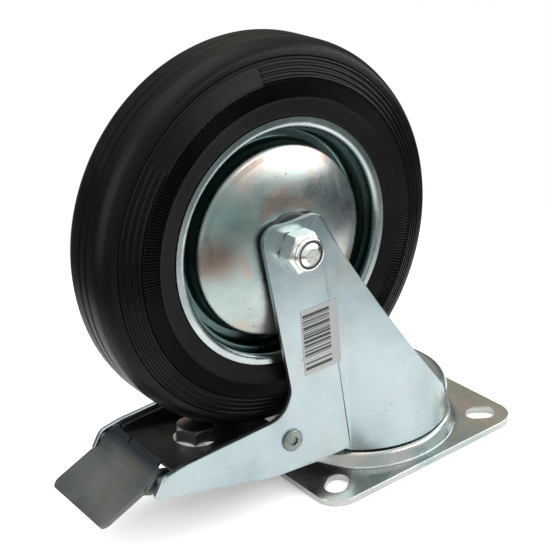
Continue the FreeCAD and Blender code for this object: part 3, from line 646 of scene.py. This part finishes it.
class Bench:
    """Modelling by hand: every helper leaves Blender in object mode."""

    @staticmethod
    def pick(piece: bpy.types.Object) -> None:
        """Selects one object and nothing else."""
        bpy.ops.object.select_all(action="DESELECT")
        bpy.context.view_layer.objects.active = piece
        piece.select_set(True)

    @staticmethod
    @contextmanager
    def editing(piece: bpy.types.Object, mode: str = "VERT") -> Iterator[bmesh.types.BMesh]:
        """Opens a piece in edit mode with nothing selected.

        Args:
            piece: Object to edit.
            mode: What is selected: VERT, EDGE or FACE.

        Yields:
            The mesh that is being edited.
        """
        Bench.pick(piece)
        bpy.ops.object.mode_set(mode="EDIT")
        bpy.ops.mesh.select_mode(type=mode)
        bpy.ops.mesh.select_all(action="DESELECT")
        try:
            yield bmesh.from_edit_mesh(piece.data)
        finally:
            bpy.ops.object.mode_set(mode="OBJECT")

    @staticmethod
    def choose(piece: bpy.types.Object, mesh: bmesh.types.BMesh, test: Callable[[object], bool]) -> None:
        """Selects the vertices that pass a test.

        Args:
            piece: Object in edit mode.
            mesh: Its mesh.
            test: Says whether a vertex is wanted.
        """
        bpy.ops.mesh.select_all(action="DESELECT")
        for vertex in mesh.verts:
            vertex.select = test(vertex)
        mesh.select_flush_mode()
        bmesh.update_edit_mesh(piece.data)

    @staticmethod
    def trace(name: str, points: list[Vector]) -> bpy.types.Object:
        """Draws a line of edges, one extrusion after another.

        Args:
            name: Name of the new piece.
            points: Corners of the line, in metres.

        Returns:
            The piece that holds the line.
        """
        bpy.ops.object.select_all(action="DESELECT")
        bpy.ops.mesh.primitive_plane_add(size=2 * MM, location=(0, 0, 0))
        piece = bpy.context.object
        piece.name = name
        with Bench.editing(piece) as mesh:
            mesh.verts.ensure_lookup_table()
            keep = mesh.verts[0]
            start = points[0] - keep.co
            Bench.choose(piece, mesh, lambda vertex: vertex is not keep)
            bpy.ops.mesh.delete(type="VERT")
            bpy.ops.mesh.select_all(action="SELECT")
            bpy.ops.transform.translate(value=start)
            for before, after in zip(points, points[1:]):
                bpy.ops.mesh.extrude_region_move(TRANSFORM_OT_translate={"value": after - before})
        return piece

    @staticmethod
    def spin(piece: bpy.types.Object, centre: Vector, steps: int) -> None:
        """Turns the whole piece once round an axle along Y and welds it into a closed skin.

        Args:
            piece: Piece that holds the section.
            centre: Point on the axle.
            steps: Divisions of the full turn, a multiple of sixteen.
        """
        with Bench.editing(piece):
            bpy.ops.mesh.select_all(action="SELECT")
            bpy.ops.mesh.spin(steps=steps // SECTORS, angle=2 * pi / SECTORS, center=centre, axis=(0, 1, 0))
            made = 1
            while made < SECTORS:
                bpy.ops.mesh.select_all(action="SELECT")
                bpy.ops.mesh.duplicate()
                bpy.ops.transform.rotate(
                    value=2 * pi * made / SECTORS, orient_axis="Y", center_override=centre
                )
                made *= 2
            bpy.ops.mesh.select_all(action="SELECT")
            bpy.ops.mesh.remove_doubles(threshold=WELD)
            bpy.ops.mesh.normals_make_consistent(inside=False)

    @staticmethod
    def smooth(piece: bpy.types.Object, angle: float) -> None:
        """Shades a piece smooth, with creases above an angle in degrees."""
        Bench.pick(piece)
        bpy.ops.object.shade_smooth_by_angle(angle=radians(angle))

    @staticmethod
    def copy_of(node: str, name: str) -> bpy.types.Object:
        """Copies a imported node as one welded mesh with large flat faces.

        Args:
            node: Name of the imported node.
            name: Name of the copy.

        Returns:
            The copy, with a mesh of its own.
        """
        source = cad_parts[node]
        piece = bpy.data.objects.new(name, source.data.copy())
        piece.data.name = name
        bpy.context.scene.collection.objects.link(piece)
        Bench.pick(piece)
        bpy.ops.mesh.customdata_custom_splitnormals_clear()
        with Bench.editing(piece):
            bpy.ops.mesh.select_all(action="SELECT")
            bpy.ops.mesh.remove_doubles(threshold=WELD)
            bpy.ops.mesh.dissolve_limited(angle_limit=radians(FLAT_DEGREES))
        return piece

    @staticmethod
    def soften(piece: bpy.types.Object, width: float, segments: int = 2, crease: float = 35.0) -> None:
        """Rounds the sharp edges of a pressing.

        Args:
            piece: Piece to round.
            width: Width of the rounding, in metres.
            segments: Rows of faces on each edge.
            crease: Smallest angle in degrees that counts as sharp.
        """
        Bench.pick(piece)
        bevel = piece.modifiers.new("rounding", "BEVEL")
        bevel.width = width
        bevel.segments = segments
        bevel.limit_method = "ANGLE"
        bevel.angle_limit = radians(crease)
        bevel.use_clamp_overlap = False
        bpy.ops.object.modifier_apply(modifier=bevel.name)
        with Bench.editing(piece, "FACE") as mesh:
            for face in mesh.faces:
                face.select = len(face.verts) > 4
            bmesh.update_edit_mesh(piece.data)
            bpy.ops.mesh.quads_convert_to_tris(ngon_method="BEAUTY")
        Bench.smooth(piece, PRESSING_CREASE)
        weighted = piece.modifiers.new("flat_faces", "WEIGHTED_NORMAL")
        weighted.keep_sharp = True
        bpy.ops.object.modifier_apply(modifier=weighted.name)

    @staticmethod
    def fit(piece: bpy.types.Object, body: str, slot: Slot, finish: Finish, *nodes: str) -> None:
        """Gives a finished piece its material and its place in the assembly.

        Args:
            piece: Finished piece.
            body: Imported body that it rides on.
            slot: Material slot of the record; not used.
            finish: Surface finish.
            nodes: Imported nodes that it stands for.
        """
        piece.data.materials.clear()
        piece.data.materials.append(finish.make())
        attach(piece, body)
        if nodes:
            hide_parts(*nodes)
        LOG.info("%s: %d faces on %s", piece.name, len(piece.data.polygons), body)

    @staticmethod
    def dress(finish: Finish, *nodes: str) -> None:
        """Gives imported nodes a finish.

        Args:
            finish: Surface finish.
            nodes: Names of the nodes.
        """
        for name in nodes:
            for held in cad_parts[name].material_slots:
                held.material = finish.make()
            LOG.info("%s: %s", name, finish.name)


@dataclass
class Tyre:
    """Black rubber tyre with a fluted ring, four raised ribs and a shallow tread."""

    axle: Vector = field(default_factory=AXLE.copy)
    steps: int = 640
    rib_radii: tuple[float, ...] = (90.9, 88.1, 85.3, 82.6)
    rib_height: float = 0.9
    rib_half: float = 0.85
    flute_outer: float = 81.3
    flute_inner: float = 72.9
    flute_depth: float = 1.0
    pad_start: float = 93.0
    pad_end: float = 139.5
    pad_ring: tuple[float, float] = (81.5, 89.2)
    flute_bottom: tuple[float, float] = (73.0, 81.2)
    flute_side: float = 20.0
    pad_side: float = 15.0
    crease: float = 44.0
    wall: tuple[tuple[float, float], ...] = (
        (63.2, 23.2),
        (72.4, 24.97),
        (81.5, 23.8),
        (90.8, 19.7),
        (95.0, 18.4),
    )
    rib_profile: tuple[tuple[float, float], ...] = (
        (1.0, -0.5),
        (0.62, 0.25),
        (0.22, 0.6),
        (-0.22, 0.6),
        (-0.62, 0.25),
        (-1.0, -0.5),
    )
    rib_sink: float = 0.35
    pad_sink: float = 0.5
    level_step: float = 0.05

    def wall_at(self, radius: float) -> float:
        """Half width of the plain sidewall at a radius, in millimetres."""
        for (low, near), (high, far) in zip(self.wall, self.wall[1:]):
            if radius <= high:
                return near + (far - near) * (radius - low) / (high - low)
        return self.wall[-1][1]

    def half_section(self) -> list[tuple[float, float]]:
        """Section from the middle of the tread to the middle of the seat, as radius and half width."""
        tread = [(100.0, 0.0), (100.0, 2.2), (99.25, 2.6), (99.25, 3.4), (100.0, 3.8), (100.0, 7.4)]
        tread += [(99.92, 9.6), (99.75, 10.8), (99.35, 12.0), (98.75, 13.4)]
        shoulder = [(98.3, 14.5), (97.6, 15.7), (96.7, 16.8), (96.0, 17.5), (95.2, 18.1), (94.2, 18.55)]
        shoulder += [(93.0, 18.85), (92.2, 19.05)]
        ribs = []
        for radius in self.rib_radii:
            for offset, lift in self.rib_profile:
                at = radius + offset * self.rib_half
                ribs.append((at, self.wall_at(at) + (lift - self.rib_sink) * self.rib_height))
        flute = [self.flute_outer, 81.05, 80.6, 78.6, 76.6, 74.6, 73.4, 73.1, self.flute_inner]
        fluted = [(radius, self.wall_at(radius)) for radius in flute]
        bead = [(radius, self.wall_at(radius) - 0.25) for radius in (72.3, 71.0, 68.5, 66.0, 64.4)]
        seat = [(63.75, 23.0), (63.35, 22.6), (63.2, 22.0), (63.2, 21.3), (60.4, 21.3), (59.5, 20.4)]
        return tread + shoulder + ribs + fluted + bead + seat + [(59.5, 8.0), (59.5, 0.0)]

    def section(self) -> list[Vector]:
        """Closed section in the plane of the axle, in metres."""
        near = self.half_section()
        loop = [(radius, -half) for radius, half in near] + [(radius, half) for radius, half in near[-2:0:-1]]
        loop.append(loop[0])
        return [self.axle + Vector((0.0, half, radius)) * MM for radius, half in loop]

    def turn_of(self, vertex: bmesh.types.BMVert) -> float:
        """Angle of a vertex round the axle, in degrees, from the front."""
        return degrees(atan2(vertex.co.z - self.axle.z, vertex.co.x - self.axle.x)) % 360.0

    def radius_of(self, vertex: bmesh.types.BMVert) -> float:
        """Distance of a vertex from the axle, in millimetres."""
        return hypot(vertex.co.z - self.axle.z, vertex.co.x - self.axle.x) / MM

    def press_flutes(self, piece: bpy.types.Object) -> None:
        """Pulls every other row of the fluted ring inwards on both walls."""
        with Bench.editing(piece) as mesh:
            for side in (-1, 1):
                def in_flute(vertex: bmesh.types.BMVert) -> bool:
                    """Says whether a vertex is in the bottom of a flute on this side."""
                    low, high = self.flute_bottom
                    if vertex.co.y * side < self.flute_side * MM or not low < self.radius_of(vertex) < high:
                        return False
                    return round(self.turn_of(vertex) * self.steps / 360.0) % 2 == 0

                Bench.choose(piece, mesh, in_flute)
                bpy.ops.transform.translate(value=(0, -side * self.flute_depth * MM, 0))

    def press_pad(self, piece: bpy.types.Object) -> None:
        """Flattens the three inner ribs into a plain pad over part of each wall."""
        with Bench.editing(piece) as mesh:
            for side in (-1, 1):
                for lift in (0.6, 0.25):
                    def on_rib(vertex: bmesh.types.BMVert) -> bool:
                        """Says whether a vertex is at this level of a rib inside the pad."""
                        radius = self.radius_of(vertex)
                        low, high = self.pad_ring
                        if vertex.co.y * side < self.pad_side * MM or not low < radius < high:
                            return False
                        if not self.pad_start <= self.turn_of(vertex) <= self.pad_end:
                            return False
                        rise = vertex.co.y * side / MM - self.wall_at(radius)
                        return abs(rise / self.rib_height + self.rib_sink - lift) < self.level_step

                    Bench.choose(piece, mesh, on_rib)
                    drop = (lift + self.pad_sink) * self.rib_height * MM
                    bpy.ops.transform.translate(value=(0, -side * drop, 0))

    def build(self) -> None:
        """Draws the section, spins it round the axle and presses the mould's details."""
        piece = Bench.trace("tyre_moulded", self.section())
        Bench.spin(piece, self.axle, self.steps)
        self.press_flutes(piece)
        self.press_pad(piece)
        Bench.smooth(piece, self.crease)
        Bench.fit(piece, "wheel", Slot.RUBBER, TYRE_RUBBER, "tyre")


@dataclass
class Wheel:
    """Pressed rim, its two dished discs, the hub and the needle bearing."""

    def dress(self) -> None:
        """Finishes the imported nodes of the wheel."""
        Bench.dress(RIM_ZINC, "rim_band")
        Bench.dress(DISC_ZINC, "wheel_disc_left", "wheel_disc_right")
        Bench.dress(BOLT_STEEL, "hub_tube", "axle_sleeve")
        Bench.dress(SEAL_PLASTIC, "hub_caps", "roller_cage")
        Bench.dress(BALL_STEEL, "bearing_rollers")


@dataclass
class Swivel:
    """Mounting plate, kingpin and the two ball races."""

    edge: float = 0.5

    def build(self) -> None:
        """Rounds the plate and finishes the bearing's nodes."""
        piece = Bench.copy_of("mounting_plate", "plate_pressing")
        Bench.soften(piece, self.edge * MM)
        Bench.fit(piece, "plate", Slot.PLATE, PLATE_ZINC, "mounting_plate")
        Bench.dress(BOLT_STEEL, "kingpin", "kingpin_nut")
        Bench.dress(RIM_ZINC, "race_cup")
        Bench.dress(SEAL_PLASTIC, "dust_seal")
        Bench.dress(BALL_STEEL, "main_balls", "upper_balls")


@dataclass
class Fork:
    """Pressed fork with its axle bolt, rivets, pins and paper tag."""

    edge: float = 0.7

    def build(self) -> None:
        """Rounds the fork's sheet edges and finishes what is fixed to it."""
        piece = Bench.copy_of("fork", "fork_pressing")
        Bench.soften(piece, self.edge * MM)
        Bench.fit(piece, "fork", Slot.PLATE, PRESSED, "fork")
        Bench.dress(NUT_STEEL, "axle_bolt", "axle_nut")
        Bench.dress(RIVET_STEEL, "brake_rivets", "pedal_pin")
        Bench.dress(RING_PLASTIC, "nut_insert")
        Bench.dress(TAG_PAPER, "leg_label")


@dataclass
class Brake:
    """Brake lever with its adjusting bolt, and the foot pedal."""

    lever_edge: float = 0.5
    pedal_edge: float = 0.5

    def build(self) -> None:
        """Rounds the lever and the pedal and finishes the bolt."""
        lever = Bench.copy_of("brake_lever", "lever_pressing")
        Bench.soften(lever, self.lever_edge * MM)
        Bench.fit(lever, "brake_lever", Slot.LEVER, LEVER_BLACK, "brake_lever")
        pedal = Bench.copy_of("brake_pedal", "pedal_pressing")
        Bench.soften(pedal, self.pedal_edge * MM)
        Bench.fit(pedal, "pedal", Slot.PLATE, PEDAL_ZINC, "brake_pedal")
        Bench.dress(DARK_BOLT, "brake_bolt", "brake_lock_nut")
        Bench.dress(NUT_STEEL, "brake_washer")


@dataclass(frozen=True)
class Lamp:
    """A soft rectangular light."""

    name: str
    place: tuple[float, float, float]
    width: float
    height: float
    watts: float
    colour: tuple[float, float, float] = (1.0, 1.0, 1.0)


@dataclass(frozen=True)
class SkyPatch:
    """One coloured side of the low sky, which rises from start to full along an axis."""

    axis: str
    start: float
    full: float
    share: float
    tone: Colour


@dataclass
class Studio:
    """Camera, soft lights, sky and the pale floor."""

    eye: Vector = field(default_factory=lambda: Vector((-0.3978, -0.5024, 0.3883)))
    heading: Vector = field(default_factory=lambda: Vector((0.5152, 0.7515, -0.4122)))
    roll: float = -4.84
    lens: float = 84.61
    sensor: float = 36.0
    target: Vector = field(default_factory=lambda: Vector((-0.05, 0.0, 0.10)))
    floor_radius: float = 0.41
    floor_sides: int = 128
    sun_from: Vector = field(default_factory=lambda: Vector((-0.30, -0.35, 0.90)))
    sun_strength: float = 2.0
    sun_angle: float = 140.0
    lamps: tuple[Lamp, ...] = (
        Lamp("right_front_box", (1.00, -0.85, 0.66), 1.00, 0.80, 12.0),
        Lamp("right_strip", (1.35, -0.05, 0.62), 0.30, 0.90, 5.0),
        Lamp("front_strip", (0.35, -1.25, 0.95), 0.60, 0.25, 3.5),
        Lamp("left_strip", (-1.10, 0.10, 0.55), 0.35, 1.2, 4.5),
        Lamp("overhead_box", (-0.10, 0.20, 1.90), 1.6, 1.6, 14.0),
    )

    sky_stops: tuple[tuple[float, Colour], ...] = (
        (0.30, (0.20, 0.21, 0.20, 1.0)),
        (0.44, (0.16, 0.20, 0.195, 1.0)),
        (0.53, (0.050, 0.075, 0.078, 1.0)),
        (0.62, (0.090, 0.115, 0.115, 1.0)),
        (0.80, (0.36, 0.38, 0.37, 1.0)),
        (1.00, (0.62, 0.64, 0.64, 1.0)),
    )
    low_sky: tuple[float, float] = (0.25, -0.05)
    low_patches: tuple[SkyPatch, ...] = (
        SkyPatch("Y", -0.55, -0.90, 0.80, (0.30, 0.38, 0.37, 1.0)),
        SkyPatch("X", 0.40, 0.85, 0.92, (0.024, 0.034, 0.058, 1.0)),
        SkyPatch("X", -0.15, -0.60, 0.70, (0.26, 0.15, 0.11, 1.0)),
    )
    warm_share: float = 0.9
    warm_tone: Colour = (0.80, 0.71, 0.57, 1.0)
    backdrop: Colour = (1.0, 1.0, 1.0, 1.0)

    def place_camera(self) -> None:
        """Puts the camera in front of the near leg, above the pedal."""
        lens = bpy.data.cameras.new("camera")
        lens.sensor_width = self.sensor
        lens.lens = self.lens
        camera = bpy.data.objects.new("camera", lens)
        bpy.context.scene.collection.objects.link(camera)
        camera.location = self.eye
        camera.rotation_mode = "QUATERNION"
        turn = Quaternion((0.0, 0.0, 1.0), radians(self.roll))
        camera.rotation_quaternion = self.heading.to_track_quat("-Z", "Y") @ turn
        bpy.context.scene.camera = camera

    def hang_lamps(self) -> None:
        """Adds the soft lights, each turned to the castor."""
        for lamp in self.lamps:
            light = bpy.data.lights.new(lamp.name, "AREA")
            light.shape = "RECTANGLE"
            light.size = lamp.width
            light.size_y = lamp.height
            light.energy = lamp.watts
            light.color = lamp.colour
            holder = bpy.data.objects.new(lamp.name, light)
            bpy.context.scene.collection.objects.link(holder)
            holder.location = lamp.place
            aim = self.target - Vector(lamp.place)
            holder.rotation_euler = aim.to_track_quat("-Z", "Y").to_euler()

    def raise_sun(self) -> None:
        """Adds one wide, even light over the whole floor."""
        light = bpy.data.lights.new("wide_sun", "SUN")
        light.energy = self.sun_strength
        light.angle = radians(self.sun_angle)
        holder = bpy.data.objects.new("wide_sun", light)
        bpy.context.scene.collection.objects.link(holder)
        holder.rotation_euler = (-self.sun_from).to_track_quat("-Z", "Y").to_euler()

    def paint_sky(self) -> None:
        """Dark teal near the horizon and bright above, with a plain pale backdrop for the camera."""
        world = bpy.data.worlds.new("studio")
        world.use_nodes = True
        bpy.context.scene.world = world
        graph = Graph(world.node_tree)
        way = graph.node("ShaderNodeTexCoord", output="Generated")
        sides = {axis: graph.node("ShaderNodeSeparateXYZ", {}, {0: way}, axis) for axis in "XYZ"}
        up = sides["Z"]
        tone = graph.node("ShaderNodeValToRGB", {"stops": self.sky_stops}, {0: up * 0.5 + 0.5})
        low = up.ramp(*self.low_sky)
        for patch in self.low_patches:
            near = sides[patch.axis].ramp(patch.start, patch.full)
            tone = graph.blend(near * low * patch.share, tone, patch.tone)
        warm = sides["Y"].ramp(0.2, 0.8) * sides["X"].ramp(0.10, 0.62) * up.ramp(0.10, 0.40)
        tone = graph.blend(warm * self.warm_share, tone, self.warm_tone)
        seen = graph.node("ShaderNodeLightPath", output="Is Camera Ray")
        glow = graph.node("ShaderNodeBackground", {}, {"Color": tone, "Strength": 1.0})
        pale = graph.node("ShaderNodeBackground", {}, {"Color": self.backdrop, "Strength": 1.0})
        mixed = graph.node("ShaderNodeMixShader", {}, {0: seen, 1: glow, 2: pale})
        graph.node("ShaderNodeOutputWorld", {}, {"Surface": mixed})

    def lay_floor(self) -> None:
        """Lays the floor under the plate."""
        bpy.ops.object.select_all(action="DESELECT")
        bpy.ops.mesh.primitive_circle_add(
            vertices=self.floor_sides,
            radius=self.floor_radius,
            fill_type="NGON",
            location=(self.target.x, 0, CAD_BOX[0][2]),
        )
        floor = bpy.context.object
        floor.name = "studio_floor"
        floor.data.materials.append(FLOOR.make())

    def build(self) -> None:
        """Sets up the whole studio."""
        self.place_camera()
        self.hang_lamps()
        self.raise_sun()
        self.paint_sky()
        self.lay_floor()
        bpy.context.scene.view_settings.view_transform = "Standard"


def main() -> None:
    """Builds every sub-assembly in order."""
    logging.basicConfig(level=logging.INFO, format="%(name)s: %(message)s")
    Studio().build()
    Tyre().build()
    Wheel().dress()
    Swivel().build()
    Fork().build()
    Brake().build()


if __name__ == "__main__":
    main()
